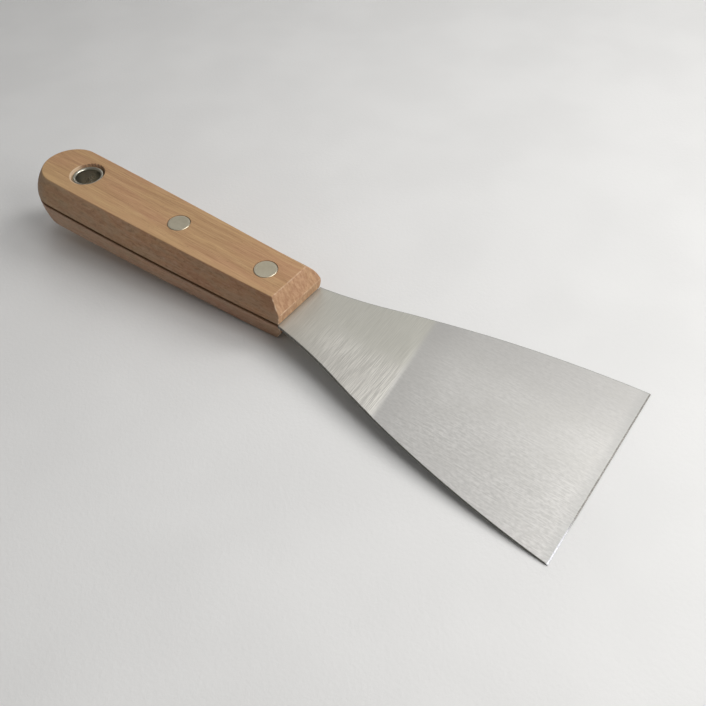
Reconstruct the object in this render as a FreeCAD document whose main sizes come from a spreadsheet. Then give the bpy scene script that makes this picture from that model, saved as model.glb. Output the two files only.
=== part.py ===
"""Flexible putty knife: a ground steel blade with a full tang, riveted between two beech scales.

Frame: origin at the centre of the hang hole, on the middle plane of the tang. +X runs along the knife
to the blade's edge, +Z is square to the blade, and XZ is the plane of symmetry. Lengths are millimetres.
"""

import math
import os

import FreeCAD
import Part
import Sketcher

DIMENSIONS = {
    # along the knife, from the centre of the hang hole
    "front_reach": 95.0,  # front end of the handle
    "edge_reach": 196.5,  # working edge of the blade
    "butt_centre": -8.5,  # centre of the rounding at the butt
    "front_rivet": 82.2,
    "rear_rivet": 44.8,
    "grind_start": 135.5,  # full thickness ends here
    "grind_end": 138.5,  # thin, flexible thickness begins here
    "hinge_reach": 157.0,  # a third of the way from the grind line to the edge
    # blade
    "blade_width": 63.5,
    "root_width": 20.9,
    "flare_reach": 121.0,  # where the concave flare turns into the convex side
    "flare_width": 32.8,
    "flare_radius": 160.0,
    "blade_thickness": 1.0,
    "flex_thickness": 0.55,
    "edge_thickness": 0.45,
    "hinge_gap": 0.05,
    "tang_inset": 0.8,
    # handle outline at three heights: against the tang, half way up and at the flat face
    "half_height": 9.2,
    "waist_height": 5.0,
    "inner_front_width": 20.3,
    "inner_butt_radius": 13.9,
    "inner_side_radius": 2000.0,
    "top_waist_front_width": 18.5,
    "top_waist_butt_radius": 12.7,
    "top_face_front_width": 16.1,
    "top_face_butt_radius": 10.1,
    "bottom_waist_front_width": 18.3,
    "bottom_waist_butt_radius": 13.5,
    "bottom_face_front_width": 15.8,
    "bottom_face_butt_radius": 12.6,
    "outer_side_radius": 3000.0,
    "bevel_run": 3.4,
    "facet_height": 3.7,
    # rivets: a pin pressed into a tube, each with its own flat head
    "head_radius": 3.9,
    "head_thickness": 1.2,
    "head_clearance": 0.15,
    "shank_radius": 2.4,
    "shank_clearance": 0.05,
    "pin_radius": 1.5,
    "pin_shoulder": 5.0,  # height of the joint between the tube's mouth and the pin's shoulder
    "pin_end": -4.5,
    "tube_floor": -5.0,
    # eyelet
    "eyelet_bore_radius": 4.2,
    "eyelet_wall": 0.4,
    "eyelet_roll_radius": 0.7,
    "eyelet_skirt": 0.3,
    "counterbore_radius": 5.8,
    "counterbore_depth": 1.6,
}

X_AXIS = FreeCAD.Vector(1, 0, 0)
NORMAL = FreeCAD.Vector(0, 0, 1)

doc = FreeCAD.newDocument("putty_knife")


def make_sheet():
    sheet = doc.addObject("Spreadsheet::Sheet", "size")
    for row, (alias, number) in enumerate(DIMENSIONS.items(), start=1):
        sheet.set(f"A{row}", alias)
        sheet.set(f"B{row}", str(number))
        sheet.setAlias(f"B{row}", alias)
    doc.recompute()
    return sheet


size = make_sheet()


def value(expression):
    """Number that an expression on the sheet gives, in millimetres."""
    result = size.evalExpression(expression)
    return float(getattr(result, "Value", result))


# ---------------------------------------------------------------- sketch helpers


def body_sketch(body, name, role, offset=None):
    """Sketch on one of the body's own origin planes, raised by the expression offset."""
    plane = next(f for f in body.Origin.OriginFeatures if f.Role == role)
    sketch = body.newObject("Sketcher::SketchObject", name)
    sketch.AttachmentSupport = [(plane, "")]
    sketch.MapMode = "FlatFace"
    if offset:
        sketch.setExpression("AttachmentOffset.Base.z", offset)
    doc.recompute()
    return sketch


def bind(sketch, kind, *arguments):
    """Adds a dimension whose last argument is an expression on the sheet."""
    *places, expression = arguments
    index = sketch.addConstraint(Sketcher.Constraint(kind, *places, value(expression)))
    sketch.setExpression(f"Constraints[{index}]", expression)


def join(sketch, first, first_end, second, second_end, kind="Coincident"):
    sketch.addConstraint(Sketcher.Constraint(kind, first, first_end, second, second_end))


def arc(centre, radius, start, end):
    """Counter-clockwise arc about centre between the directions of two points."""
    circle = Part.Circle(FreeCAD.Vector(*centre, 0), NORMAL, radius)
    first, last = (math.atan2(y - centre[1], x - centre[0]) for x, y in (start, end))
    return Part.ArcOfCircle(circle, first, last if last > first else last + 2 * math.pi)


def line(start, end):
    return Part.LineSegment(FreeCAD.Vector(*start, 0), FreeCAD.Vector(*end, 0))


def bound_circle(sketch, x_expression, radius_expression):
    """Circle centred on the sketch's horizontal axis."""
    centre = FreeCAD.Vector(value(x_expression), 0, 0)
    index = sketch.addGeometry(Part.Circle(centre, NORMAL, value(radius_expression)))
    if centre.x:
        sketch.addConstraint(Sketcher.Constraint("PointOnObject", index, 3, -1))
        bind(sketch, "DistanceX", -1, 1, index, 3, x_expression)
    else:
        join(sketch, index, 3, -1, 1)
    bind(sketch, "Radius", index, radius_expression)


def bound_profile(sketch, corners, rounds=None):
    """Closed outline through corners given as pairs of expressions.

    rounds maps the number of a side that is a round to the coordinate that places the round's centre
    (DistanceX or DistanceY, and its expression) and whether it runs counter-clockwise on the outline.
    """
    rounds = rounds or {}
    points = [(value(x), value(y)) for x, y in corners]
    sides = []
    for number, start in enumerate(points):
        end = points[(number + 1) % len(points)]
        if number not in rounds:
            sides.append((sketch.addGeometry(line(start, end)), 1, 2))
            continue
        kind, expression, forward = rounds[number]
        centre = [(start[0] + end[0]) / 2, (start[1] + end[1]) / 2]
        centre[0 if kind == "DistanceX" else 1] = value(expression)
        ends = (start, end) if forward else (end, start)
        index = sketch.addGeometry(arc(centre, math.dist(centre, start), *ends))
        bind(sketch, kind, -1, 1, index, 3, expression)
        sides.append((index, 1, 2) if forward else (index, 2, 1))
    for number, (x_expression, y_expression) in enumerate(corners):
        index, start_end, _ = sides[number]
        before, _, before_end = sides[number - 1]
        join(sketch, before, before_end, index, start_end)
        bind(sketch, "DistanceX", -1, 1, index, start_end, x_expression)
        bind(sketch, "DistanceY", -1, 1, index, start_end, y_expression)


def cross_line(sketch, reach, width):
    """Line across the knife, centred on its axis, from the near side to the far side."""
    x, half = value(reach), value(width) / 2
    index = sketch.addGeometry(line((x, -half), (x, half)))
    sketch.addConstraint(Sketcher.Constraint("Symmetric", index, 1, index, 2, -1))
    bind(sketch, "DistanceX", -1, 1, index, 1, reach)
    bind(sketch, "DistanceY", index, 1, index, 2, width)
    return index


def handle_outline(sketch, front_width, butt_radius, side_radius):
    """Outline of the handle: square front end, long bowed sides and a round butt, all tangent."""
    front = (value("size.front_reach"), value(front_width) / 2)
    butt = (value("size.butt_centre"), 0.0)
    round_radius, bow_radius = value(butt_radius), value(side_radius)
    # centre of the bowed side: bow_radius from the front corner and tangent inside to the butt round
    gap = math.dist(front, butt)
    along = (bow_radius**2 - (bow_radius - round_radius) ** 2 + gap**2) / (2 * gap)
    aside = math.sqrt(bow_radius**2 - along**2)
    unit = ((butt[0] - front[0]) / gap, (butt[1] - front[1]) / gap)
    bow = (front[0] + along * unit[0] - aside * unit[1], front[1] + along * unit[1] + aside * unit[0])
    reach = bow_radius / math.dist(bow, butt)
    touch = (bow[0] + reach * (butt[0] - bow[0]), bow[1] + reach * (butt[1] - bow[1]))

    end_line = cross_line(sketch, "size.front_reach", front_width)
    far = sketch.addGeometry(arc(bow, bow_radius, front, touch))
    butt_round = sketch.addGeometry(arc(butt, round_radius, touch, (touch[0], -touch[1])))
    near = sketch.addGeometry(
        arc((bow[0], -bow[1]), bow_radius, (touch[0], -touch[1]), (front[0], -front[1]))
    )
    join(sketch, end_line, 2, far, 1)
    join(sketch, far, 2, butt_round, 1, "Tangent")
    join(sketch, butt_round, 2, near, 1, "Tangent")
    join(sketch, near, 2, end_line, 1)
    sketch.addConstraint(Sketcher.Constraint("PointOnObject", butt_round, 3, -1))
    bind(sketch, "DistanceX", -1, 1, butt_round, 3, "size.butt_centre")
    bind(sketch, "Radius", butt_round, butt_radius)
    bind(sketch, "Radius", far, side_radius)
    sketch.addConstraint(Sketcher.Constraint("Equal", far, near))


def blade_outline(sketch):
    """Outline of the exposed blade: each side is a concave flare that turns into a long convex arc."""
    root = (value("size.front_reach"), value("size.root_width") / 2)
    turn = (value("size.flare_reach"), value("size.flare_width") / 2)
    corner = (value("size.edge_reach"), value("size.blade_width") / 2)
    flare_radius = value("size.flare_radius")
    chord = math.dist(root, turn)
    across = (-(turn[1] - root[1]) / chord, (turn[0] - root[0]) / chord)
    offset = math.sqrt(flare_radius**2 - chord**2 / 4)
    flare = tuple((root[i] + turn[i]) / 2 + offset * across[i] for i in (0, 1))
    inward = tuple((turn[i] - flare[i]) / flare_radius for i in (0, 1))
    reach = tuple(corner[i] - turn[i] for i in (0, 1))
    side_radius = math.dist(corner, turn) ** 2 / (2 * (inward[0] * reach[0] + inward[1] * reach[1]))
    side = tuple(turn[i] + side_radius * inward[i] for i in (0, 1))

    def mirrored(point):
        return (point[0], -point[1])

    root_line = cross_line(sketch, "size.front_reach", "size.root_width")
    edge_line = cross_line(sketch, "size.edge_reach", "size.blade_width")
    far_flare = sketch.addGeometry(arc(flare, flare_radius, root, turn))
    far_side = sketch.addGeometry(arc(side, side_radius, corner, turn))
    near_flare = sketch.addGeometry(arc(mirrored(flare), flare_radius, mirrored(turn), mirrored(root)))
    near_side = sketch.addGeometry(arc(mirrored(side), side_radius, mirrored(turn), mirrored(corner)))
    join(sketch, root_line, 2, far_flare, 1)
    join(sketch, far_flare, 2, far_side, 2, "Tangent")
    join(sketch, far_side, 1, edge_line, 2)
    join(sketch, root_line, 1, near_flare, 2)
    join(sketch, near_flare, 1, near_side, 1, "Tangent")
    join(sketch, near_side, 2, edge_line, 1)
    bind(sketch, "DistanceX", -1, 1, far_flare, 2, "size.flare_reach")
    bind(sketch, "DistanceX", -1, 1, near_flare, 1, "size.flare_reach")
    bind(sketch, "DistanceY", -1, 1, far_flare, 2, "size.flare_width / 2")
    bind(sketch, "DistanceY", near_flare, 1, -1, 1, "size.flare_width / 2")
    bind(sketch, "Radius", far_flare, "size.flare_radius")
    sketch.addConstraint(Sketcher.Constraint("Equal", far_flare, near_flare))


# ---------------------------------------------------------------- handle


def pocket(body, sketch, name, depth=None, both_ways=False):
    """Cuts a sketch into the body, to the depth expression or right through."""
    cut = body.newObject("PartDesign::Pocket", name)
    cut.Profile = sketch
    if depth:
        cut.setExpression("Length", depth)
    else:
        cut.Type = "ThroughAll"
    if both_ways:
        cut.SideType = "Symmetric"
    doc.recompute()
    return cut


def handle_scale(label, side, turned=False):
    """One wooden scale, modelled flat face up, lofted from the tang to its flat face."""
    body = doc.addObject("PartDesign::Body", label)
    body.Label = label
    inner = body_sketch(body, label + "_inner", "XY_Plane", "size.blade_thickness / 2")
    handle_outline(inner, "size.inner_front_width", "size.inner_butt_radius", "size.inner_side_radius")
    waist = body_sketch(body, label + "_waist", "XY_Plane", "size.waist_height")
    handle_outline(
        waist, f"size.{side}_waist_front_width", f"size.{side}_waist_butt_radius", "size.outer_side_radius"
    )
    face = body_sketch(body, label + "_face", "XY_Plane", "size.half_height")
    handle_outline(
        face, f"size.{side}_face_front_width", f"size.{side}_face_butt_radius", "size.outer_side_radius"
    )
    loft = body.newObject("PartDesign::AdditiveLoft", label + "_loft")
    loft.Profile = inner
    loft.Sections = [waist, face]
    doc.recompute()

    bevel = body_sketch(body, label + "_bevel", "XZ_Plane")
    bound_profile(
        bevel,
        [
            ("size.front_reach", "size.facet_height"),
            ("size.front_reach + 1", "size.facet_height"),
            ("size.front_reach + 1", "size.half_height + 1"),
            ("size.front_reach - size.bevel_run", "size.half_height + 1"),
            ("size.front_reach - size.bevel_run", "size.half_height"),
        ],
    )
    pocket(body, bevel, label + "_front_bevel", both_ways=True)

    shank_holes = body_sketch(body, label + "_holes", "XY_Plane", "size.half_height")
    for rivet in ("size.front_rivet", "size.rear_rivet"):
        bound_circle(shank_holes, rivet, "size.shank_radius + size.shank_clearance")
    bound_circle(
        shank_holes, "0", "size.eyelet_bore_radius + size.eyelet_wall + size.shank_clearance"
    )
    pocket(body, shank_holes, label + "_through_holes")

    seats = body_sketch(body, label + "_seats", "XY_Plane", "size.half_height")
    for rivet in ("size.front_rivet", "size.rear_rivet"):
        bound_circle(seats, rivet, "size.head_radius + size.head_clearance")
    pocket(body, seats, label + "_head_seats", depth="size.head_thickness")

    mouth = body_sketch(body, label + "_mouth", "XY_Plane", "size.half_height")
    bound_circle(mouth, "0", "size.counterbore_radius")
    pocket(body, mouth, label + "_counterbore", depth="size.counterbore_depth")
    if turned:
        body.Placement = FreeCAD.Placement(FreeCAD.Vector(), FreeCAD.Rotation(X_AXIS, 180))
    return body


# ---------------------------------------------------------------- blade


def plate(name, sketch, thickness):
    """Flat plate padded evenly to both sides of a sketch."""
    solid = doc.addObject("Part::Extrusion", name)
    solid.Base = sketch
    solid.DirMode = "Normal"
    solid.Solid = True
    solid.Symmetric = True
    solid.setExpression("LengthFwd", thickness)
    return solid


def loose_sketch(name, upright=False):
    """Sketch on the XY plane, or on the XZ plane if upright."""
    sketch = doc.addObject("Sketcher::SketchObject", name)
    if upright:
        sketch.Placement = FreeCAD.Placement(FreeCAD.Vector(), FreeCAD.Rotation(X_AXIS, 90))
    return sketch


def blade_outline_plate():
    outline = loose_sketch("blade_plan")
    blade_outline(outline)
    return plate("blade_blank", outline, "2 * size.blade_thickness")


def rigid_blade_section():
    """Section of the blade from the handle, down the grind, to the round groove at the hinge line."""
    section = loose_sketch("rigid_section", upright=True)
    lip = (
        "size.hinge_reach - sqrt((size.flex_thickness / 2 + size.hinge_gap) ^ 2"
        " - (size.flex_thickness / 2) ^ 2)"
    )
    bound_profile(
        section,
        [
            ("size.front_reach", "-size.blade_thickness / 2"),
            ("size.grind_start", "-size.blade_thickness / 2"),
            ("size.grind_end", "-size.flex_thickness / 2"),
            (lip, "-size.flex_thickness / 2"),
            (lip, "size.flex_thickness / 2"),
            ("size.grind_end", "size.flex_thickness / 2"),
            ("size.grind_start", "size.blade_thickness / 2"),
            ("size.front_reach", "size.blade_thickness / 2"),
        ],
        rounds={3: ("DistanceX", "size.hinge_reach", False)},
    )
    return plate("rigid_section_bar", section, "size.blade_width + 10")


def flexible_blade_section():
    """Section of the thin blade from its half-round hinge edge to the working edge."""
    section = loose_sketch("flexible_section", upright=True)
    bound_profile(
        section,
        [
            ("size.hinge_reach", "size.flex_thickness / 2"),
            ("size.hinge_reach", "-size.flex_thickness / 2"),
            ("size.edge_reach", "-size.edge_thickness / 2"),
            ("size.edge_reach", "size.edge_thickness / 2"),
        ],
        rounds={0: ("DistanceX", "size.hinge_reach", True)},
    )
    return plate("flexible_section_bar", section, "size.blade_width + 10")


def tang():
    """Tang between the scales, set in from their outline, with holes for the rivets and the eyelet."""
    outline = loose_sketch("tang_plan")
    handle_outline(
        outline,
        "size.inner_front_width - 2 * size.tang_inset",
        "size.inner_butt_radius - size.tang_inset",
        "size.inner_side_radius",
    )
    for rivet in ("size.front_rivet", "size.rear_rivet"):
        bound_circle(outline, rivet, "size.shank_radius + size.shank_clearance")
    bound_circle(outline, "0", "size.eyelet_bore_radius + size.eyelet_wall + size.shank_clearance")
    return plate("tang_plate", outline, "size.blade_thickness")


def blade_pieces():
    blank = blade_outline_plate()
    rigid = doc.addObject("Part::Common", "rigid_blade")
    rigid.Base = blank
    rigid.Tool = rigid_blade_section()
    whole = doc.addObject("Part::Fuse", "blade_and_tang")
    whole.Label = "blade_and_tang"
    whole.Base = tang()
    whole.Tool = rigid
    whole.Refine = True
    flexible = doc.addObject("Part::Common", "flexible_blade_end")
    flexible.Label = "flexible_blade_end"
    flexible.Base = blank
    flexible.Tool = flexible_blade_section()
    return [whole, flexible]


# ---------------------------------------------------------------- rivets and eyelet


def turned_piece(label, corners, rounds=None, reach=None):
    """Body revolved about its own Z axis and moved along the knife to the expression reach."""
    body = doc.addObject("PartDesign::Body", label)
    body.Label = label
    profile = body_sketch(body, label + "_profile", "XZ_Plane")
    bound_profile(profile, corners, rounds)
    turning = body.newObject("PartDesign::Revolution", label + "_turning")
    turning.Profile = profile
    turning.ReferenceAxis = (profile, ["V_Axis"])
    turning.Angle = 360
    if reach:
        body.setExpression("Placement.Base.x", reach)
    return body


def rivet(name, reach):
    """Cutler's rivet: a tube from below and a pin from above, pressed together, heads flush."""
    axis = "0"
    tube = turned_piece(
        f"{name}_rivet_female",
        [
            (axis, "-size.half_height"),
            ("size.head_radius", "-size.half_height"),
            ("size.head_radius", "size.head_thickness - size.half_height"),
            ("size.shank_radius", "size.head_thickness - size.half_height"),
            ("size.shank_radius", "size.pin_shoulder"),
            ("size.pin_radius", "size.pin_shoulder"),
            ("size.pin_radius", "size.tube_floor"),
            (axis, "size.tube_floor"),
        ],
        reach=reach,
    )
    pin = turned_piece(
        f"{name}_rivet_male",
        [
            (axis, "size.pin_end"),
            ("size.pin_radius", "size.pin_end"),
            ("size.pin_radius", "size.pin_shoulder"),
            ("size.shank_radius", "size.pin_shoulder"),
            ("size.shank_radius", "size.half_height - size.head_thickness"),
            ("size.head_radius", "size.half_height - size.head_thickness"),
            ("size.head_radius", "size.half_height"),
            (axis, "size.half_height"),
        ],
        reach=reach,
    )
    return [tube, pin]


def eyelet():
    """Tube through the handle with a rim rolled outwards at each end, down in the counterbores."""
    seat = "size.half_height - size.counterbore_depth"
    roll = f"{seat} + size.eyelet_skirt"
    bore = "size.eyelet_bore_radius"
    wall = "size.eyelet_bore_radius + size.eyelet_wall"
    rim = "size.eyelet_bore_radius + 2 * size.eyelet_roll_radius"
    return turned_piece(
        "hang_hole_eyelet",
        [
            (bore, roll),
            (bore, f"-({roll})"),
            (rim, f"-({roll})"),
            (rim, f"-({seat})"),
            (wall, f"-({seat})"),
            (wall, seat),
            (rim, seat),
            (rim, roll),
        ],
        rounds={1: ("DistanceY", f"-({roll})", True), 7: ("DistanceY", roll, True)},
    )


# ---------------------------------------------------------------- build, check and export


def check(pieces):
    for thing in doc.Objects:
        if any(state in thing.State for state in ("Invalid", "Error")):
            raise RuntimeError(f"{thing.Name} failed: {thing.State}")
        if thing.TypeId == "PartDesign::Pocket":
            removed = thing.BaseFeature.Shape.Volume - thing.Shape.Volume
            if removed <= 0.01:
                raise RuntimeError(f"{thing.Name} cuts nothing")
        if thing.TypeId == "Sketcher::SketchObject" and thing.solve() != 0:
            raise RuntimeError(f"{thing.Name} has no solution")
    for piece in pieces:
        shape = piece.Shape
        if shape.isNull() or not shape.isValid() or len(shape.Solids) != 1:
            raise RuntimeError(f"{piece.Label} is not one valid solid")


def main():
    pieces = blade_pieces()
    pieces.append(handle_scale("top_handle_scale", "top"))
    pieces.append(handle_scale("bottom_handle_scale", "bottom", turned=True))
    pieces.extend(rivet("front", "size.front_rivet"))
    pieces.extend(rivet("rear", "size.rear_rivet"))
    pieces.append(eyelet())
    doc.recompute()
    check(pieces)
    os.makedirs("parts", exist_ok=True)
    for piece in pieces:
        piece.Shape.exportStep(f"parts/{piece.Label}.step")
        box = piece.Shape.BoundBox
        print(
            f"{piece.Label}: {piece.Shape.Volume:.1f} mm3,"
            f" x {box.XMin:.2f} to {box.XMax:.2f}, y {box.YMin:.2f} to {box.YMax:.2f},"
            f" z {box.ZMin:.2f} to {box.ZMax:.2f}"
        )


main()
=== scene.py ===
import math

import bmesh
import bpy
from mathutils import Matrix, Vector


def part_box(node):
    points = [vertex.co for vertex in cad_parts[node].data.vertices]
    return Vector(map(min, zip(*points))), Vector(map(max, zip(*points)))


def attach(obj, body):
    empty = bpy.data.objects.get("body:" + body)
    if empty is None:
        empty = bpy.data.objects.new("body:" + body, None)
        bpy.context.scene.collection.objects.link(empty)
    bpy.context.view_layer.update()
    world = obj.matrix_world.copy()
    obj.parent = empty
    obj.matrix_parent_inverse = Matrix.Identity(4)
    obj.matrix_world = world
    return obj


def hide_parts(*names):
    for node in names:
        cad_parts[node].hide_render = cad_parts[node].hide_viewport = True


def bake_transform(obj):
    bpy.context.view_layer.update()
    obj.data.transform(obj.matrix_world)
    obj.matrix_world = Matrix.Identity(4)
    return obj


# Looks of a flexible putty knife with a riveted beech handle. Lengths are metres, in the frame's own axes:
# origin at the centre of the hang hole, +X along the knife to the blade's edge, +Z square to the blade.
# The photo's near side is -Y and its far side is +Y.

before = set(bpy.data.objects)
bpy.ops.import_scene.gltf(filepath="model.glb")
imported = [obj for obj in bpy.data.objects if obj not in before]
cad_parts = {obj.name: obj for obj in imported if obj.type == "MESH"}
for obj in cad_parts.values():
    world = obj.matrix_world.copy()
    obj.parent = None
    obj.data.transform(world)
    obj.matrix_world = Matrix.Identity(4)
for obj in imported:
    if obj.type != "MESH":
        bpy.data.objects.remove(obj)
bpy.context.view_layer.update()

MM = 0.001


def low(node):
    """Lowest corner of a CAD node's box."""
    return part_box(node)[0]


def high(node):
    """Highest corner of a CAD node's box."""
    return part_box(node)[1]


# ------------------------------------------------------------------ sizes

# read from the CAD
FRONT = high("top_handle_scale").x
BUTT = low("top_handle_scale").x
TOP = high("top_handle_scale").z
SLIT = low("top_handle_scale").z
FRONT_RIVET = (low("front_rivet_male").x + high("front_rivet_male").x) / 2
REAR_RIVET = (low("rear_rivet_male").x + high("rear_rivet_male").x) / 2
RIM_TOP = high("hang_hole_eyelet").z
RIM_RADIUS = high("hang_hole_eyelet").x
EDGE = high("flexible_blade_end").x
EDGE_HALF = high("flexible_blade_end").y
HALF_THICK = high("blade_and_tang").z
HALF_FLEX = high("flexible_blade_end").z

# handle
BUTT_CENTRE = -8.5 * MM
INNER_RADIUS = BUTT_CENTRE - BUTT
BEVEL_RUN = 3.4 * MM
FACET_HEIGHT = 3.7 * MM  # the front is upright up to here, and slopes back above it
WAIST = 5.0 * MM
# front half width, butt radius and side radius of the outline, in mm, at the tang, waist and flat face
OUTLINES = {
    "top": ((10.15, INNER_RADIUS / MM, 2000), (9.25, 12.7, 3000), (8.05, 10.1, 3000)),
    "bottom": ((10.15, INNER_RADIUS / MM, 2000), (9.15, 13.5, 3000), (7.9, 12.6, 3000)),
}
SIDE_STEPS, BUTT_STEPS, FRONT_STEPS = 60, 40, 16
FACET_LEVELS, BEVEL_LEVELS = 3, 10
WOOD_EASE = 0.3 * MM
FULL_FROM = 70 * MM  # the far front corner of the upper scale keeps more wood from here on
FULLNESS = 1.75 * MM
FULLNESS_POWER = 0.65  # below 1, the fullness stays near its greatest over most of the height

# hang hole and its eyelet
BORE_RADIUS = 4.2 * MM
TUBE_WALL = 0.4 * MM
ROLL_RADIUS = 0.7 * MM
COUNTERBORE_RADIUS = 5.8 * MM
COUNTERBORE_DEPTH = 1.6 * MM
COUNTERBORE_LIP = 0.2 * MM
TEAR = 0.9 * MM  # reach of the torn fibres round the mouth, and how deep they are torn
TEAR_DEPTH = 0.7 * MM
FLOOR_CORNER = 0.15 * MM

# rivets
PIN_RADIUS = 1.5 * MM
PIN_REACH = -5.0 * MM
SHANK_RADIUS = 2.4 * MM
SHANK_CLEARANCE = 0.05 * MM
HEAD_CLEARANCE = 0.06 * MM
HEAD_RADIUS = (high("front_rivet_male").x - low("front_rivet_male").x) / 2 - HEAD_CLEARANCE
HEAD_DEPTH = 1.2 * MM
HEAD_EASE = 0.35 * MM
HEAD_LIP = 0.06 * MM
DISH_DEPTH = 0.04 * MM  # the head's face is dished by this, half of it within the dish's width from the rim
DISH_WIDTH = 0.9 * MM

# blade
TANG_INSET = 0.8 * MM
TANG_TIP = 1.2 * MM
TANG_END = 0.02 * MM
ROOT_HALF = 10.45 * MM
FLARE_REACH = 121.0 * MM
FLARE_HALF = 16.4 * MM
FLARE_RADIUS = 160 * MM
GRIND_START = 135.5 * MM
GRIND_END = 138.5 * MM
GRIND_SLANT = -0.117  # the line was ground by eye: it leans towards the handle at the far side
GRIND_NEAR = -20.5 * MM  # where the leaning line crosses the CAD's straight one
RUNOUT = 8 * MM  # at the far side the grind begins earlier by this much, and so runs out softly
RUNOUT_FROM = 4 * MM
RUNOUT_WIDTH = 12 * MM
TAPER_START = 157 * MM
HALF_EDGE = 0.225 * MM
SIDE_EASE = 0.16 * MM  # width and drop of the eased long edges, then of the honed front edge
SIDE_DROP = 0.05 * MM
EDGE_EASE = 0.4 * MM
EDGE_DROP = 0.10 * MM
BLADE_ROWS, BUTT_STATIONS, TANG_STATIONS = 48, 16, 40
STATION_STEP = 1.0 * MM
GRIND_STEP = 0.4 * MM
GRIND_LEAD = 14 * MM  # the shorter steps begin this far behind the grind line
FLATNESS = 0.985  # faces of the blade whose normals lean more than this are its cut edges


# ------------------------------------------------------------------ mesh helpers


def new_piece(name, mesh, material=None):
    piece = bpy.data.objects.new(name, mesh)
    bpy.context.scene.collection.objects.link(piece)
    if material:
        mesh.materials.append(material)
    return piece


def applied(piece):
    """Puts what the piece's modifiers give into its mesh."""
    graph = bpy.context.evaluated_depsgraph_get()
    mesh = bpy.data.meshes.new_from_object(piece.evaluated_get(graph))
    piece.modifiers.clear()
    piece.data = mesh


def smooth(mesh, angle):
    """Smooth shading, except where faces meet at more than the angle in degrees."""
    for face in mesh.polygons:
        face.use_smooth = True
    mesh.set_sharp_from_angle(angle=math.radians(angle))


def even_normals(piece):
    """Normals that follow the larger faces."""
    modifier = piece.modifiers.new("even", "WEIGHTED_NORMAL")
    modifier.keep_sharp = True
    modifier.weight = 90
    applied(piece)


def stacked(name, loops):
    """Closed mesh through loops that all have the same number of points."""
    mesh = bpy.data.meshes.new(name)
    count = len(loops[0])
    points = [point for loop in loops for point in loop]
    faces = []
    for level in range(len(loops) - 1):
        for i in range(count):
            j = (i + 1) % count
            a = level * count
            faces.append((a + i, a + j, a + count + j, a + count + i))
    faces.append(tuple(reversed(range(count))))
    faces.append(tuple((len(loops) - 1) * count + i for i in range(count)))
    mesh.from_pydata(points, [], faces)
    mesh.validate()
    recalculated(mesh)
    return mesh


def recalculated(mesh):
    """Turns all faces outwards."""
    work = bmesh.new()
    work.from_mesh(mesh)
    bmesh.ops.recalc_face_normals(work, faces=work.faces)
    work.to_mesh(mesh)
    work.free()


def lathe(name, profile, x, segments=96, ring=False):
    """Profile of (radius, height) turned about the vertical line at x. A ring's profile is closed."""
    work = bmesh.new()
    turns = [2 * math.pi * i / segments for i in range(segments)]
    rows = []
    for radius, height in profile:
        if radius == 0:
            rows.append([work.verts.new((x, 0, height))])
        else:
            points = [(x + radius * math.cos(turn), radius * math.sin(turn), height) for turn in turns]
            rows.append([work.verts.new(point) for point in points])
    pairs = list(zip(rows, rows[1:]))
    if ring:
        pairs.append((rows[-1], rows[0]))
    for first, second in pairs:
        for i in range(segments):
            j = (i + 1) % segments
            corners = []
            for row, place in ((first, i), (first, j), (second, j), (second, i)):
                corner = row[place % len(row)]
                if corner not in corners:
                    corners.append(corner)
            if len(corners) > 2:
                work.faces.new(corners)
    bmesh.ops.recalc_face_normals(work, faces=work.faces)
    mesh = bpy.data.meshes.new(name)
    work.to_mesh(mesh)
    work.free()
    return mesh


def arc_points(centre, radius, start, end, steps):
    """Points of an arc in (radius, height), angles in degrees from the outward direction."""
    points = []
    for i in range(steps + 1):
        angle = math.radians(start + (end - start) * i / steps)
        points.append((centre[0] + radius * math.cos(angle), centre[1] + radius * math.sin(angle)))
    return points


def cut(piece, cutters):
    """Takes each cutter's mesh out of the piece."""
    for mesh in cutters:
        tool = new_piece("cutter", mesh)
        modifier = piece.modifiers.new("cut", "BOOLEAN")
        modifier.object = tool
        modifier.operation = "DIFFERENCE"
        modifier.solver = "EXACT"
        applied(piece)
        bpy.data.objects.remove(tool)


# ------------------------------------------------------------------ node helpers


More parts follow.
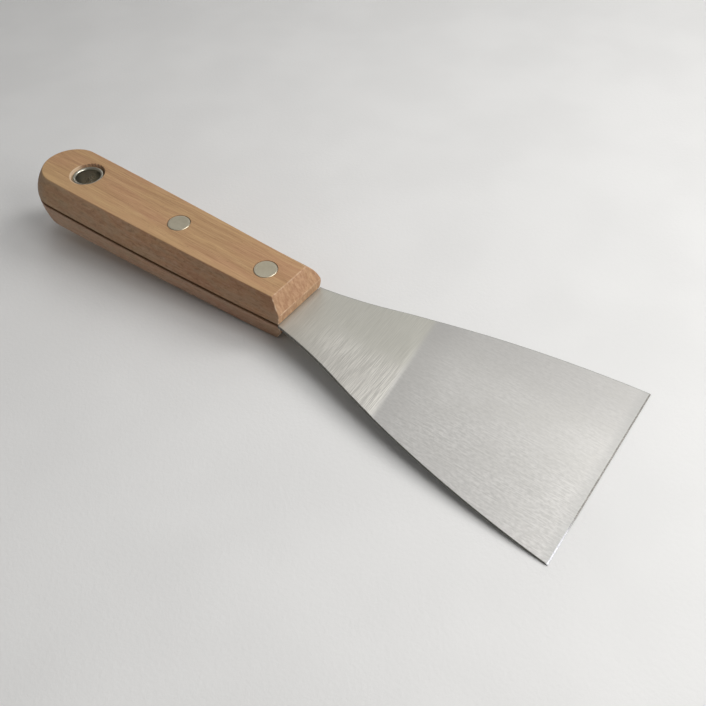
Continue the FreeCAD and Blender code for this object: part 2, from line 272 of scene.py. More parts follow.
class Nodes:
    """A material's node tree, with short calls for the nodes used here."""

    def __init__(self, name):
        self.material = bpy.data.materials.new(name)
        self.material.use_nodes = True
        self.tree = self.material.node_tree
        self.shader = self.tree.nodes["Principled BSDF"]

    def put(self, socket, value):
        if isinstance(value, bpy.types.NodeSocket):
            self.tree.links.new(value, socket)
        else:
            socket.default_value = value

    def node(self, kind, **settings):
        node = self.tree.nodes.new(kind)
        for key, value in settings.items():
            setattr(node, key, value)
        return node

    def coordinates(self, output):
        return self.node("ShaderNodeTexCoord").outputs[output]

    def scaled(self, vector, scale, turn=(0, 0, 0), shift=(0, 0, 0)):
        node = self.node("ShaderNodeMapping")
        self.put(node.inputs["Vector"], vector)
        node.inputs["Scale"].default_value = scale
        node.inputs["Rotation"].default_value = turn
        node.inputs["Location"].default_value = shift
        return node.outputs["Vector"]

    def noise(self, vector, detail=2.0, roughness=0.5, distortion=0.0):
        node = self.node("ShaderNodeTexNoise")
        self.put(node.inputs["Vector"], vector)
        node.inputs["Scale"].default_value = 1.0
        node.inputs["Detail"].default_value = detail
        node.inputs["Roughness"].default_value = roughness
        node.inputs["Distortion"].default_value = distortion
        return node.outputs["Fac"]

    def math(self, operation, first, second=0.0):
        node = self.node("ShaderNodeMath", operation=operation)
        for socket, value in zip(node.inputs, (first, second)):
            self.put(socket, value)
        return node.outputs["Value"]

    def span(self, value, start, end, low=0.0, high=1.0):
        """Low before start, high after end, and between them on the way."""
        node = self.node("ShaderNodeMapRange", interpolation_type="SMOOTHSTEP")
        self.put(node.inputs["Value"], value)
        for name, number in (("From Min", start), ("From Max", end), ("To Min", low), ("To Max", high)):
            node.inputs[name].default_value = number
        return node.outputs["Result"]

    def mix(self, share, first, second):
        node = self.node("ShaderNodeMix", data_type="FLOAT")
        self.put(node.inputs[0], share)
        self.put(node.inputs[2], first)
        self.put(node.inputs[3], second)
        return node.outputs[0]

    def colours(self, share, first, second):
        node = self.node("ShaderNodeMix", data_type="RGBA")
        self.put(node.inputs[0], share)
        self.put(node.inputs[6], first)
        self.put(node.inputs[7], second)
        return node.outputs[2]

    def coats(self, colour, *coats):
        """Colour with each coat, a share and a tone, laid over it in turn."""
        for share, tone in coats:
            colour = self.colours(share, colour, tone)
        return colour

    def times(self, first, second):
        return self.math("MULTIPLY", first, second)

    def axes(self, vector):
        node = self.node("ShaderNodeSeparateXYZ")
        self.put(node.inputs[0], vector)
        return node.outputs

    def vector(self, x, y, z):
        node = self.node("ShaderNodeCombineXYZ")
        for socket, value in zip(node.inputs, (x, y, z)):
            self.put(socket, value)
        return node.outputs[0]

    def bump(self, height, strength, distance):
        node = self.node("ShaderNodeBump")
        node.inputs["Strength"].default_value = strength
        node.inputs["Distance"].default_value = distance
        self.put(node.inputs["Height"], height)
        return node.outputs["Normal"]

    def set(self, **values):
        for name, value in values.items():
            self.put(self.shader.inputs[name.replace("_", " ")], value)
        return self.material


def srgb(red, green, blue):
    """Colour for a node, from sRGB levels of 0 to 255."""
    def linear(level):
        share = level / 255
        return share / 12.92 if share <= 0.04045 else ((share + 0.055) / 1.055) ** 2.4

    return (linear(red), linear(green), linear(blue), 1.0)


# ------------------------------------------------------------------ materials


def beech(name, shift, flank_tone):
    """Steamed beech with fine fibres along the knife, end grain, ray flecks, worn edges, and painted shade in
    the slit and counterbore.
    """
    n = Nodes(name)
    place = n.scaled(n.coordinates("Object"), (1, 1, 1), shift=shift)
    drift = n.noise(n.scaled(place, (16, 70, 70)), detail=3)
    fibres = n.noise(n.scaled(place, (120, 3400, 3400)), detail=4, roughness=0.7)
    pores = n.noise(n.scaled(place, (700, 5600, 5600)), detail=1)
    facing = [n.math("ABSOLUTE", part) for part in n.axes(n.coordinates("Normal"))]
    flank = n.span(facing[1], 0.45, 0.85)
    colour = beech_grain(n, place, drift, fibres, pores)
    colour = beech_faces(n, place, drift, facing, colour)
    colour = beech_flanks(n, place, flank, flank_tone, colour)
    colour = beech_wear(n, place, colour)
    relief = n.math("ADD", n.times(fibres, 0.7), n.times(pores, -0.4))
    return n.set(
        Base_Color=colour,
        Roughness=n.span(fibres, 0.3, 0.7, 0.62, 0.50),
        Normal=n.bump(relief, 0.4, 0.12 * MM),
        Specular_IOR_Level=0.35,
    )


def beech_grain(n, place, drift, fibres, pores):
    """Growth rings, pink blotches, hair-fine streaks, fibres and dark pores."""
    x, y, z = n.axes(place)
    across = n.math("ADD", n.times(y, 0.9), n.times(z, 0.45))
    bent = n.math("ADD", across, n.times(drift, 0.008))
    rings = n.noise(n.vector(n.times(x, 6.0), n.times(bent, 420), 0.0), detail=4, roughness=0.6)
    blotch = n.noise(n.scaled(place, (24, 110, 110)), detail=2)
    hairs = n.noise(n.scaled(place, (80, 2300, 2300), shift=(0.4, 0.2, 0.1)), detail=3, roughness=0.65)
    pale, brown = srgb(206, 174, 129), srgb(144, 106, 72)
    return n.coats(
        n.colours(n.span(rings, 0.36, 0.62), srgb(170, 132, 94), srgb(189, 152, 109)),
        (n.span(blotch, 0.38, 0.66, 0.0, 0.60), srgb(183, 136, 104)),
        (n.span(hairs, 0.50, 0.70, 0.0, 0.38), pale),
        (n.span(hairs, 0.48, 0.29, 0.0, 0.42), brown),
        (n.span(fibres, 0.52, 0.76, 0.0, 0.42), pale),
        (n.span(fibres, 0.47, 0.27, 0.0, 0.48), brown),
        (n.span(pores, 0.64, 0.80, 0.0, 0.45), srgb(104, 75, 54)),
    )


def beech_faces(n, place, drift, facing, colour):
    """End grain at the front bevel and the butt, and paler sapwood at the near side of the flat faces."""
    specks = n.noise(n.scaled(place, (500, 1100, 450), turn=(0.6, 0, 0)), detail=4, roughness=0.65)
    end_colour = n.colours(n.span(specks, 0.34, 0.68), srgb(142, 103, 77), srgb(182, 147, 115))
    wavy = n.math("ADD", n.axes(place)[1], n.times(drift, 5 * MM))
    sapwood = n.times(n.span(wavy, -2.5 * MM, -5.5 * MM, 0.0, 0.28), n.span(facing[2], 0.75, 0.95))
    return n.coats(
        colour,
        (n.span(facing[0], 0.30, 0.62, 0.0, 0.65), end_colour),
        (sapwood, srgb(208, 174, 126)),
    )


def beech_flanks(n, place, flank, flank_tone, colour):
    """Flanks with patches and ray flecks, darker towards the front and paler and greyer towards the butt."""
    flecks = n.noise(n.scaled(place, (420, 1000, 1100)), detail=4, roughness=0.7, distortion=0.5)
    patches = n.noise(n.scaled(place, (110, 380, 380), shift=(0.2, 0.0, 0.3)), detail=2)
    x = n.axes(n.coordinates("Object"))[0]
    return n.coats(
        colour,
        # the lower scale's flank tone is lighter than the upper one's, partly painted light bounced up from
        # the table
        (n.times(flank, 0.28), flank_tone),
        # grey and red patches
        (n.times(flank, n.span(patches, 0.49, 0.60, 0.0, 0.32)), srgb(164, 144, 118)),
        (n.times(flank, n.span(patches, 0.48, 0.38, 0.0, 0.30)), srgb(160, 110, 80)),
        # dark and pale ray flecks
        (n.times(flank, n.span(flecks, 0.50, 0.66, 0.0, 0.42)), srgb(112, 80, 56)),
        (n.times(flank, n.span(flecks, 0.47, 0.33, 0.0, 0.42)), srgb(190, 160, 138)),
        # darker towards the front, paler and greyer towards the butt
        (n.times(flank, n.span(x, 35 * MM, 90 * MM, 0.0, 0.24)), srgb(110, 74, 48)),
        (n.times(flank, n.span(x, 45 * MM, 5 * MM, 0.0, 0.22)), srgb(172, 150, 122)),
    )


def beech_wear(n, place, colour):
    """Front arrises rubbed pale, painted shade by the tang's slit and in the counterbore, and a painted
    highlight on its rear lip.
    """
    x, y, z = n.axes(n.coordinates("Object"))
    height = n.math("ABSOLUTE", z)
    worn = n.node("ShaderNodeAttribute", attribute_name="wear").outputs["Fac"]
    worn = n.times(worn, n.span(x, FRONT - 6 * MM, FRONT - 3 * MM))
    worn = n.times(worn, n.span(y, -5 * MM, -8 * MM, 0.35, 0.95))
    rubs = n.noise(n.scaled(place, (600, 700, 700)), detail=3)
    reach = n.math("SQRT", n.math("ADD", n.times(x, x), n.times(y, y)))
    rear_side = n.span(n.math("ADD", x, y), -2 * MM, -6 * MM)
    # painted shade on the counterbore's wall, left off on its rear side, which faces the lamps
    recess_shade = n.times(
        n.span(reach, COUNTERBORE_RADIUS + 1.2 * MM, COUNTERBORE_RADIUS + 0.8 * MM),
        n.span(height, TOP - 0.15 * MM, TOP - 0.6 * MM, 0.0, 0.35),
    )
    # painted highlight on the counterbore's rear lip, where it faces the lamps; the wood is partly rubbed
    # pale there too
    lip = n.times(n.span(reach, COUNTERBORE_RADIUS + 0.5 * MM, COUNTERBORE_RADIUS + 0.3 * MM), rear_side)
    return n.coats(
        colour,
        (n.times(worn, n.span(rubs, 0.34, 0.64)), srgb(212, 184, 155)),
        # painted shade in the slit beside the tang
        (n.span(height, 0.85 * MM, 0.6 * MM, 0.0, 0.5), srgb(92, 66, 50)),
        # painted shade in the counterbore
        (n.times(recess_shade, n.math("SUBTRACT", 1.0, rear_side)), srgb(78, 56, 42)),
        # painted highlight on the rear lip, partly rubbed wood
        (n.times(lip, 0.65), srgb(226, 202, 172)),
    )


def ground_steel(name):
    """Blade steel: brushed across behind the grind line, ground lengthwise beyond it."""
    n = Nodes(name)
    place = n.coordinates("UV")
    x, y, _ = n.axes(place)
    lean = n.times(n.math("SUBTRACT", y, GRIND_NEAR), GRIND_SLANT)
    along_blade = n.math("SUBTRACT", x, lean)
    ground = n.span(along_blade, GRIND_END - 2.4 * MM, GRIND_END + 0.2 * MM)
    patch = n.noise(n.scaled(place, (70, 110, 1)), detail=3)

    brushed = n.vector(n.math("SUBTRACT", x, n.times(lean, 0.4)), y, 0.0)
    lines = n.noise(n.scaled(brushed, (8000, 150, 1)), detail=2, roughness=0.6)
    streaks = n.noise(n.scaled(brushed, (5000, 95, 1)), detail=2, roughness=0.6)
    rear = n.mix(0.5, lines, streaks)
    # the brushing is coarsest just behind the grind line, towards the near side, and a painted sheen makes it
    # brightest there
    near = n.span(n.math("ADD", y, n.times(patch, 12 * MM)), 11 * MM, -4 * MM)
    painted_sheen = n.times(n.span(along_blade, 100 * MM, 122 * MM), near)
    quiet = n.colours(n.span(rear, 0.34, 0.66), srgb(193, 191, 182), srgb(206, 204, 195))
    sheen_streaks = n.colours(n.span(rear, 0.36, 0.64), srgb(184, 181, 174), srgb(238, 235, 228))
    near_band = n.times(n.span(y, -5 * MM, -14 * MM, 0.0, 0.30), n.span(along_blade, 132 * MM, 122 * MM))
    rear_tone = n.coats(quiet, (painted_sheen, sheen_streaks), (near_band, srgb(176, 173, 166)))

    along = n.noise(n.scaled(place, (150, 3600, 1)), detail=3, roughness=0.65)
    mottle = n.noise(n.scaled(place, (700, 1500, 1)), detail=3, roughness=0.6)
    front = n.mix(0.5, along, mottle)
    fine = n.colours(n.span(front, 0.34, 0.66), srgb(199, 197, 193), srgb(214, 212, 208))
    coarse = n.colours(n.span(front, 0.36, 0.64), srgb(188, 186, 182), srgb(224, 222, 218))
    front_tone = n.coats(
        fine,
        (n.span(y, 4 * MM, -20 * MM), coarse),
        (n.span(patch, 0.40, 0.66, 0.0, 0.30), srgb(198, 196, 191)),
        # painted shade in the steel's reflection: darker towards the grind line, the near side, the far side
        # and the working edge
        (n.span(along_blade, 152 * MM, GRIND_END, 0.0, 0.55), srgb(184, 182, 178)),
        (n.span(y, 8 * MM, -30 * MM, 0.0, 0.45), srgb(182, 180, 177)),
        (n.span(y, 6 * MM, 24 * MM, 0.0, 0.35), srgb(182, 180, 177)),
        (n.span(x, EDGE - 4 * MM, EDGE - 0.5 * MM, 0.0, 0.30), srgb(166, 166, 164)),
    )
    rear_rough = n.span(rear, 0.3, 0.7, 0.56, 0.46)
    front_rough = n.span(front, 0.3, 0.7, 0.53, 0.46)
    return n.set(
        Base_Color=n.colours(ground, rear_tone, front_tone),
        Metallic=1.0,
        Roughness=n.mix(ground, rear_rough, front_rough),
        Normal=n.bump(n.mix(ground, rear, front), 0.30, 0.03 * MM),
    )


def cut_edge(name):
    """Sheared, deburred blade edge, darker than its faces: duller steel with painted shade, and a painted
    glint at the near corner.
    """
    n = Nodes(name)
    place = n.coordinates("UV")
    x, y, _ = n.axes(place)
    nicks = n.noise(n.scaled(place, (2500, 2500, 1)), detail=3, roughness=0.6)
    # dull cut steel, darkened further as painted shade
    sheared_and_shaded = n.colours(n.span(nicks, 0.3, 0.7), srgb(96, 94, 90), srgb(128, 126, 121))
    working_edge = n.span(x, EDGE - 0.8 * MM, EDGE - 0.4 * MM)
    # painted glint along the working edge towards its near corner
    painted_glint = n.times(working_edge, n.span(y, -14 * MM, -26 * MM, 0.0, 0.75))
    return n.set(
        Base_Color=n.colours(painted_glint, sheared_and_shaded, srgb(188, 189, 193)),
        Metallic=1.0,
        Roughness=n.span(nicks, 0.3, 0.7, 0.6, 0.45),
        Normal=n.bump(nicks, 0.3, 0.03 * MM),
    )


def nickel(name, tones, roughness, relief, dull=None):
    """Plated nickel with small scuffs. Near the handle's faces it takes the dull tone, if one is given."""
    n = Nodes(name)
    place = n.coordinates("Object")
    scuffs = n.noise(n.scaled(place, (650, 650, 650)), detail=4, roughness=0.7)
    haze = n.noise(n.scaled(place, (240, 240, 240)), detail=2)
    marks = n.mix(0.5, scuffs, haze)
    tone = n.colours(n.span(marks, 0.35, 0.70), *tones)
    if dull:
        height = n.math("ABSOLUTE", n.axes(place)[2])
        tone = n.colours(n.span(height, RIM_TOP - 1.2 * MM, RIM_TOP - 0.7 * MM), tone, dull)
    return n.set(
        Base_Color=tone,
        Metallic=1.0,
        Roughness=n.span(marks, 0.3, 0.7, roughness - 0.04, roughness + 0.05),
        Normal=n.bump(scuffs, relief, 0.03 * MM),
    )


def table_top(name):
    """Pale, matt table."""
    n = Nodes(name)
    place = n.coordinates("Object")
    grit = n.noise(n.scaled(place, (900, 900, 900)), detail=3, roughness=0.6)
    cloud = n.noise(n.scaled(place, (25, 25, 25)), detail=2)
    colour = n.colours(n.span(cloud, 0.3, 0.7), srgb(228, 227, 225), srgb(232, 231, 229))
    return n.set(
        Base_Color=colour,
        Roughness=n.span(grit, 0.3, 0.7, 0.75, 0.9),
        Normal=n.bump(grit, 0.35, 0.18 * MM),
        Specular_IOR_Level=0.3,
    )


# ------------------------------------------------------------------ handle


def eased(share):
    """Smooth step from 0 to 1."""
    share = min(1.0, max(0.0, share))
    return share * share * (3 - 2 * share)


def outline_numbers(side, height):
    """Front half width, butt radius and side radius at a height, on the curve through the three outlines."""
    heights = (SLIT, WAIST, TOP)
    weights = []
    for i in range(3):
        j, k = (m for m in range(3) if m != i)
        rise = (height - heights[j]) * (height - heights[k])
        weights.append(rise / ((heights[i] - heights[j]) * (heights[i] - heights[k])))
    return [sum(w * outline[m] for w, outline in zip(weights, OUTLINES[side])) * MM for m in range(3)]


def side_curve(front_half, butt_radius, bow_radius):
    """Centre of the bowed side's circle and the point where it meets the butt's circle."""
    gap = math.hypot(FRONT - BUTT_CENTRE, front_half)
    along = (bow_radius**2 - (bow_radius - butt_radius) ** 2 + gap**2) / (2 * gap)
    aside = math.sqrt(bow_radius**2 - along**2)
    ux, uy = (BUTT_CENTRE - FRONT) / gap, -front_half / gap
    bow = (FRONT + along * ux - aside * uy, front_half + along * uy + aside * ux)
    reach = bow_radius / math.hypot(bow[0] - BUTT_CENTRE, bow[1])
    return bow, (bow[0] + reach * (BUTT_CENTRE - bow[0]), bow[1] - reach * bow[1])


def handle_loop(numbers, front_x, fullness):
    """Closed outline at one height, from the far front corner round the butt to the near front corner."""
    front_half, butt_radius, bow_radius = numbers
    bow, touch = side_curve(front_half, butt_radius, bow_radius)
    side = []
    for i in range(SIDE_STEPS):
        x = front_x + (touch[0] - front_x) * i / SIDE_STEPS
        side.append((x, bow[1] + math.sqrt(bow_radius**2 - (x - bow[0]) ** 2)))
    far = [(x, y + fullness * eased((x - FULL_FROM) / (FRONT - FULL_FROM))) for x, y in side]
    start = math.atan2(touch[1], touch[0] - BUTT_CENTRE)
    butt = []
    for i in range(BUTT_STEPS + 1):
        angle = start + (2 * math.pi - 2 * start) * i / BUTT_STEPS
        butt.append((BUTT_CENTRE + butt_radius * math.cos(angle), butt_radius * math.sin(angle)))
    near = [(x, -y) for x, y in reversed(side)]
    start_y, width = near[-1][1], far[0][1] - near[-1][1]
    end = [(front_x, start_y + width * i / FRONT_STEPS) for i in range(1, FRONT_STEPS)]
    return far + butt + near + end


def fibre_breaks(angle):
    """How far the counterbore's mouth is torn at an angle, from 0 to about 1: most at the far side."""
    side = max(0.0, math.cos(angle - math.radians(100))) ** 2
    teeth = abs(math.sin(15 * angle)) * 0.5 + abs(math.sin(26 * angle + 1.0)) * 0.35
    return side * teeth + 0.06 * abs(math.sin(5 * angle + 0.6))


def mark_wear(mesh):
    """Marks the middle of every eased edge, whose faces carry the second material."""
    on_edge = [True] * len(mesh.vertices)
    for face in mesh.polygons:
        for index in face.vertices:
            on_edge[index] = on_edge[index] and face.material_index == 1
    wear = mesh.attributes.new("wear", "FLOAT", "POINT")
    wear.data.foreach_set("value", [float(worn) for worn in on_edge])


def hole_cutter(x, hole, wide, depth, lip, torn=0.0):
    """Cutter for a stepped hole with a rounded lip. The mouth of the wide part can be torn."""
    below, floor, above = -2 * MM, TOP - depth, TOP + 1 * MM
    mouth = arc_points((wide + lip, TOP - lip), lip, 90, 180, 6)
    profile = [
        (0, below),
        (hole, below),
        (hole, floor),
        (wide - FLOOR_CORNER, floor),
        (wide, floor + FLOOR_CORNER),
        *reversed(mouth),
        (wide + lip, above),
        (0, above),
    ]
    mesh = lathe("hole", profile, x, segments=160)
    if torn:
        for vertex in mesh.vertices:
            reach = math.hypot(vertex.co.x - x, vertex.co.y)
            if vertex.co.z > TOP - TEAR_DEPTH and reach > hole:
                angle = math.atan2(vertex.co.y, vertex.co.x - x)
                fray = torn * fibre_breaks(angle)
                vertex.co.x += fray * math.cos(angle)
                vertex.co.y += fray * math.sin(angle)
    return mesh


def handle_scale(side, turned, material):
    """Wooden scale with eased edges, front bevel, holes and counterbore. The lower one is turned over."""
    heights = [SLIT + (FACET_HEIGHT - SLIT) * i / FACET_LEVELS for i in range(FACET_LEVELS + 1)]
    heights += [FACET_HEIGHT + (TOP - FACET_HEIGHT) * i / BEVEL_LEVELS for i in range(1, BEVEL_LEVELS + 1)]
    loops = []
    for height in heights:
        cutback = BEVEL_RUN * max(0.0, height - FACET_HEIGHT) / (TOP - FACET_HEIGHT)
        belly = math.sin(math.pi * (height - SLIT) / (TOP - SLIT)) ** FULLNESS_POWER if side == "top" else 0.0
        outline = handle_loop(outline_numbers(side, height), FRONT - cutback, FULLNESS * belly)
        loops.append([(x, y, height) for x, y in outline])
    name = f"{side}_beech_scale"
    piece = new_piece(name, stacked(name, loops), material)
    # a second slot tells the eased edges' faces apart until their wear is marked
    piece.data.materials.append(material)
    bevel = piece.modifiers.new("eased", "BEVEL")
    bevel.width = WOOD_EASE
    bevel.segments = 4
    bevel.limit_method = "ANGLE"
    bevel.angle_limit = math.radians(24)
    bevel.material = 1
    applied(piece)
    mark_wear(piece.data)

    shank_hole = SHANK_RADIUS + SHANK_CLEARANCE
    head_hole = HEAD_RADIUS + HEAD_CLEARANCE
    tube_hole = BORE_RADIUS + TUBE_WALL + SHANK_CLEARANCE
    cut(
        piece,
        [
            hole_cutter(0, tube_hole, COUNTERBORE_RADIUS, COUNTERBORE_DEPTH, COUNTERBORE_LIP, TEAR),
            hole_cutter(FRONT_RIVET, shank_hole, head_hole, HEAD_DEPTH, HEAD_LIP),
            hole_cutter(REAR_RIVET, shank_hole, head_hole, HEAD_DEPTH, HEAD_LIP),
        ],
    )
    if turned:
        piece.data.transform(Matrix.Rotation(math.pi, 4, "X"))
    for face in piece.data.polygons:
        face.material_index = 0
    piece.data.materials.clear()
    piece.data.materials.append(material)
    smooth(piece.data, 50)
    even_normals(piece)
    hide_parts(f"{side}_handle_scale")
    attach(piece, "knife")


# ------------------------------------------------------------------ rivets and eyelet


def rivet_pin(name, node, x, material):
    """Upper half of a rivet: a flat head with an eased rim, and its pin."""
    rim = arc_points((HEAD_RADIUS - HEAD_EASE, TOP - HEAD_EASE), HEAD_EASE, 0, 90, 8)
    profile = [
        (0, low(node).z),
        (PIN_RADIUS, low(node).z),
        (PIN_RADIUS, WAIST),
        (SHANK_RADIUS, WAIST),
        (SHANK_RADIUS, TOP - HEAD_DEPTH),
        (HEAD_RADIUS, TOP - HEAD_DEPTH),
        *rim,
        (HEAD_RADIUS - DISH_WIDTH, TOP - DISH_DEPTH / 2),
        (0, TOP - DISH_DEPTH),
    ]
    finished_metal(name, lathe(name, profile, x), node, material)


def rivet_tube(name, node, x, material):
    """Lower half of a rivet: a flat head with an eased rim, and the tube that the pin goes into."""
    bottom = low(node).z
    rim = arc_points((HEAD_RADIUS - HEAD_EASE, bottom + HEAD_EASE), HEAD_EASE, 270, 360, 8)
    profile = [
        (0, bottom + DISH_DEPTH),
        (HEAD_RADIUS - DISH_WIDTH, bottom + DISH_DEPTH / 2),
        *rim,
        (HEAD_RADIUS, bottom + HEAD_DEPTH),
        (SHANK_RADIUS, bottom + HEAD_DEPTH),
        (SHANK_RADIUS, high(node).z),
        (PIN_RADIUS, high(node).z),
        (PIN_RADIUS, PIN_REACH),
        (0, PIN_REACH),
    ]
    finished_metal(name, lathe(name, profile, x), node, material)


def eyelet(name, material):
    """Tube through the handle with a rolled rim at each end."""
    roll = RIM_TOP - ROLL_RADIUS
    centre = BORE_RADIUS + ROLL_RADIUS
    upper = arc_points((centre, roll), ROLL_RADIUS, 180, 0, 20)
    lower = [(r, -h) for r, h in reversed(upper)]
    seat = TOP - COUNTERBORE_DEPTH
    wall = BORE_RADIUS + TUBE_WALL
    profile = [
        *upper,
        (RIM_RADIUS, seat),
        (wall, seat),
        (wall, -seat),
        (RIM_RADIUS, -seat),
        *lower,
    ]
    finished_metal(name, lathe(name, profile, 0, ring=True), "hang_hole_eyelet", material)


def finished_metal(name, mesh, node, material):
    """Puts a turned metal piece in the scene, in place of its CAD node."""
    piece = new_piece(name, mesh, material)
    smooth(mesh, 35)
    even_normals(piece)
    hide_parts(node)
    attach(piece, "knife")


# ------------------------------------------------------------------ blade


def blade_half(x):
    """Half width of the exposed blade: a concave flare, then a long convex side."""
    root, turn, corner = (FRONT, ROOT_HALF), (FLARE_REACH, FLARE_HALF), (EDGE, EDGE_HALF)
    chord = math.dist(root, turn)
    normal = (-(turn[1] - root[1]) / chord, (turn[0] - root[0]) / chord)
    offset = math.sqrt(FLARE_RADIUS**2 - chord**2 / 4)
    flare = tuple((root[i] + turn[i]) / 2 + offset * normal[i] for i in (0, 1))
    if x <= FLARE_REACH:
        return flare[1] - math.sqrt(FLARE_RADIUS**2 - (x - flare[0]) ** 2)
    inward = tuple((turn[i] - flare[i]) / FLARE_RADIUS for i in (0, 1))
    reach = tuple(corner[i] - turn[i] for i in (0, 1))
    radius = math.dist(corner, turn) ** 2 / (2 * (inward[0] * reach[0] + inward[1] * reach[1]))
    side = tuple(turn[i] + radius * inward[i] for i in (0, 1))
    return side[1] + math.sqrt(radius**2 - (x - side[0]) ** 2)


def blade_thick(x, y):
    """Half thickness: full to the grind line, then a soft step down and a slow taper to the edge."""
    lean = GRIND_SLANT * (y - GRIND_NEAR)
    start = GRIND_START - RUNOUT * eased((y - RUNOUT_FROM) / RUNOUT_WIDTH)
    soft = eased((x - lean - start) / (GRIND_END - start))
    taper = max(0.0, x - TAPER_START) / (EDGE - TAPER_START)
    return HALF_THICK + (HALF_FLEX - HALF_THICK) * soft + (HALF_EDGE - HALF_FLEX) * taper


def blade_stations():
    """Places along the knife, each with the half width of the steel there: butt, tang, then exposed blade."""
    tang_half = OUTLINES["top"][0][0] * MM - TANG_INSET
    butt_radius = INNER_RADIUS - TANG_INSET
    bow_radius = OUTLINES["top"][0][2] * MM
    bow, touch = side_curve(tang_half, butt_radius, bow_radius)
    turn = math.atan2(touch[1], touch[0] - BUTT_CENTRE)
    stations = []
    for i in range(1, BUTT_STATIONS + 1):
        angle = math.pi - (math.pi - turn) * i / BUTT_STATIONS
        stations.append((BUTT_CENTRE + butt_radius * math.cos(angle), butt_radius * math.sin(angle)))
    for i in range(1, TANG_STATIONS + 1):
        x = touch[0] + (FRONT - TANG_END - touch[0]) * i / TANG_STATIONS
        stations.append((x, bow[1] + math.sqrt(bow_radius**2 - (x - bow[0]) ** 2)))
    x = FRONT
    while x < EDGE - 2 * EDGE_EASE:
        stations.append((x, blade_half(x)))
        x += GRIND_STEP if GRIND_START - GRIND_LEAD < x < GRIND_END else STATION_STEP
    stations.append((EDGE - EDGE_EASE, blade_half(EDGE - EDGE_EASE)))
    return stations


def blade_section(x, half, drop=0.0):
    """Closed section across the sheet at x, its long edges eased and its faces lowered by drop."""
    across = [-1 + 2 * i / BLADE_ROWS for i in range(BLADE_ROWS + 1)]
    flat = [share * (half - SIDE_EASE) for share in across]
    rise = [blade_thick(x, y) - drop for y in flat]
    top = [(x, y, z) for y, z in zip(flat, rise)]
    bottom = [(x, y, -z) for y, z in zip(reversed(flat), reversed(rise))]
    far, near = rise[-1] - SIDE_DROP, rise[0] - SIDE_DROP
    return top + [(x, half, far), (x, half, -far)] + bottom + [(x, -half, -near), (x, -half, near)]


def blade(material, edge_material):
    """One sheet of steel from the butt to the working edge, with its long edges and front edge eased."""
    loops = [blade_section(low("blade_and_tang").x, TANG_TIP)]
    loops += [blade_section(x, half) for x, half in blade_stations()]
    loops.append(blade_section(EDGE, EDGE_HALF, EDGE_DROP))
    piece = new_piece("spring_steel_blade", stacked("spring_steel_blade", loops))
    holes = [
        (0, BORE_RADIUS + TUBE_WALL + SHANK_CLEARANCE),
        (FRONT_RIVET, SHANK_RADIUS + SHANK_CLEARANCE),
        (REAR_RIVET, SHANK_RADIUS + SHANK_CLEARANCE),
    ]
    past = 3 * MM
    cut(piece, [lathe("hole", [(0, -past), (r, -past), (r, past), (0, past)], x) for x, r in holes])
    mesh = piece.data
    mesh.materials.clear()
    mesh.materials.append(material)
    mesh.materials.append(edge_material)
    for face in mesh.polygons:
        face.material_index = int(abs(face.normal.z) < FLATNESS)
    # the steel's material is laid out on the flat sheet, so that it bends with the blade
    layer = mesh.uv_layers.new(name="sheet")
    for loop in mesh.loops:
        point = mesh.vertices[loop.vertex_index].co
        layer.data[loop.index].uv = (point.x, point.y)
    smooth(mesh, 8)
    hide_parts("blade_and_tang", "flexible_blade_end")
    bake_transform(piece)


# ------------------------------------------------------------------ stage


def floor(material):
    """Table top through the blade's edge and the lower front edge of the handle."""
    back_x, back_z = FRONT - BEVEL_RUN, -TOP
    slope = (-HALF_EDGE - back_z) / (EDGE - back_x)
    half, gap = 2.0, 0.02 * MM
    corners = []
    for x, y in ((-half, -half), (half, -half), (half, half), (-half, half)):
        corners.append((x, y, back_z + slope * (x - back_x) - gap))
    mesh = bpy.data.meshes.new("table")
    mesh.from_pydata(corners, [], [(0, 1, 2, 3)])
    piece = new_piece("table", mesh, material)


# softboxes round the knife: azimuth from +X towards +Y, elevation, distance, width and watts
SOFTBOXES = {
    "near_front": (0, 40, 0.55, 0.25, 1.15),
    "near_key": (45, 40, 0.55, 0.25, 0.65),
    "near_top": (45, 65, 0.55, 0.25, 0.30),
    "near_left": (90, 40, 0.55, 0.25, 0.15),
    "near_back": (135, 65, 0.55, 0.25, 0.25),
    "far_key": (45, 45, 1.3, 0.5, 3.2),
    "far_back": (135, 25, 1.3, 0.5, 0.9),
}
LIT_POINT = (0.09, 0.0, 0.0)
WORLD_STRENGTH = 0.2


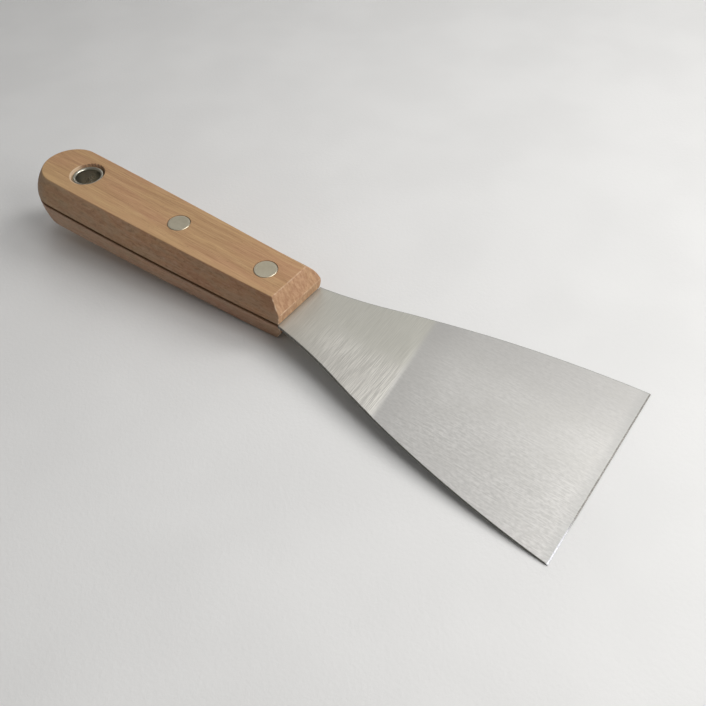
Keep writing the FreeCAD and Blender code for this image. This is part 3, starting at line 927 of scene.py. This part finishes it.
def studio():
    """Dim white surroundings and the softboxes."""
    world = bpy.data.worlds.new("studio")
    world.use_nodes = True
    background = world.node_tree.nodes["Background"]
    background.inputs["Color"].default_value = (1.0, 1.0, 1.0, 1)
    background.inputs["Strength"].default_value = WORLD_STRENGTH
    bpy.context.scene.world = world
    for name, (azimuth, elevation, distance, width, watts) in SOFTBOXES.items():
        turn, rise = math.radians(azimuth), math.radians(elevation)
        away = Vector((math.cos(turn) * math.cos(rise), math.sin(turn) * math.cos(rise), math.sin(rise)))
        data = bpy.data.lights.new(name, "AREA")
        data.shape = "DISK"
        data.size = width
        data.energy = watts
        lamp = bpy.data.objects.new(name, data)
        lamp.location = Vector(LIT_POINT) + away * distance
        lamp.rotation_euler = away.to_track_quat("Z", "Y").to_euler()
        bpy.context.scene.collection.objects.link(lamp)


CAMERA_TARGET = (0.1196, -0.0053, 0.0)
CAMERA_AZIMUTH = 36.55  # degrees from -Y towards +X
CAMERA_ELEVATION = 49.35
CAMERA_DISTANCE = 0.2245
CAMERA_ROLL = -0.3
CAMERA_LENS = 38.75


def camera():
    """Camera at the photo's place, found from the knife's outline in it."""
    data = bpy.data.cameras.new("camera")
    data.lens = CAMERA_LENS
    data.sensor_width = 36
    data.clip_start = 0.01
    azimuth, elevation = math.radians(CAMERA_AZIMUTH), math.radians(CAMERA_ELEVATION)
    level = math.cos(elevation)
    away = Vector((math.sin(azimuth) * level, -math.cos(azimuth) * level, math.sin(elevation)))
    piece = bpy.data.objects.new("camera", data)
    piece.location = Vector(CAMERA_TARGET) + away * CAMERA_DISTANCE
    roll = Matrix.Rotation(math.radians(CAMERA_ROLL), 3, "Z")
    piece.rotation_euler = (away.to_track_quat("Z", "Y").to_matrix() @ roll).to_euler()
    bpy.context.scene.collection.objects.link(piece)
    bpy.context.scene.camera = piece


# ------------------------------------------------------------------ build

bpy.context.scene.view_settings.view_transform = "Standard"

camera()
studio()
floor(table_top("pale_table"))
blade(ground_steel("ground_steel"), cut_edge("cut_edge"))
handle_scale("top", False, beech("beech_top", (0.0, 0.0, 0.0), srgb(156, 116, 92)))
# the lower flank tone is lighter and pinker: partly painted light bounced up from the table
handle_scale("bottom", True, beech("beech_bottom", (0.3, 0.11, 0.07), srgb(164, 128, 126)))
head_nickel = nickel("satin_nickel", (srgb(198, 190, 169), srgb(186, 177, 155)), 0.38, 0.05)
for place, x in (("front", FRONT_RIVET), ("rear", REAR_RIVET)):
    rivet_pin(f"{place}_rivet_pin", f"{place}_rivet_male", x, head_nickel)
    rivet_tube(f"{place}_rivet_tube", f"{place}_rivet_female", x, head_nickel)
eyelet_tones = (srgb(220, 217, 206), srgb(206, 203, 192))
eyelet("rolled_eyelet", nickel("bright_nickel", eyelet_tones, 0.30, 0.0, srgb(178, 174, 160)))
